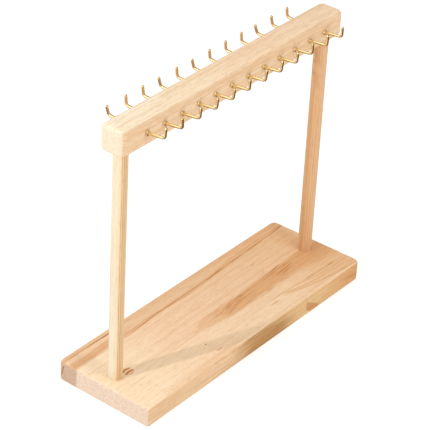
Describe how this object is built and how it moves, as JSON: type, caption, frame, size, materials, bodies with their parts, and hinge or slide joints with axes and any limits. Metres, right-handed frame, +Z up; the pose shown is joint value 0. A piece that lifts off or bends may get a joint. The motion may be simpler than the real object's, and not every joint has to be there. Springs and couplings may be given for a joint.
{
  "type": "eyeglass display rack",
  "caption": "Table-top wooden rack: a flat base, two round posts and a square top bar with a row of brass screw hooks along each side.",
  "frame": {"origin": "centre of the base board's underside, on the surface that it stands on", "axes": "+Z up, +X along the top bar, -Y towards the front"},
  "size_m": [0.3043, 0.102, 0.2703],
  "materials": {
    "base_pine": "sanded, unvarnished, satin",
    "left_post_pine": "sanded, unvarnished, satin",
    "right_post_pine": "sanded, unvarnished, satin",
    "bar_pine": "sanded, unvarnished, satin",
    "brass": "bright drawn wire, polished",
    "zinc_steel": "bright zinc plated"
  },
  "bodies": {
    "root": {"base_board": "base_pine", "left_post": "left_post_pine", "right_post": "right_post_pine", "top_bar": "bar_pine", "left_base_screw": "zinc_steel", "right_base_screw": "zinc_steel", "front_hook_01": "brass", "front_hook_02": "brass", "front_hook_03": "brass", "front_hook_04": "brass", "front_hook_05": "brass", "front_hook_06": "brass", "front_hook_07": "brass", "front_hook_08": "brass", "front_hook_09": "brass", "front_hook_10": "brass", "front_hook_11": "brass", "front_hook_12": "brass", "back_hook_01": "brass", "back_hook_02": "brass", "back_hook_03": "brass", "back_hook_04": "brass", "back_hook_05": "brass", "back_hook_06": "brass", "back_hook_07": "brass", "back_hook_08": "brass", "back_hook_09": "brass", "back_hook_10": "brass", "back_hook_11": "brass", "back_hook_12": "brass"}
  },
  "joints": []
}
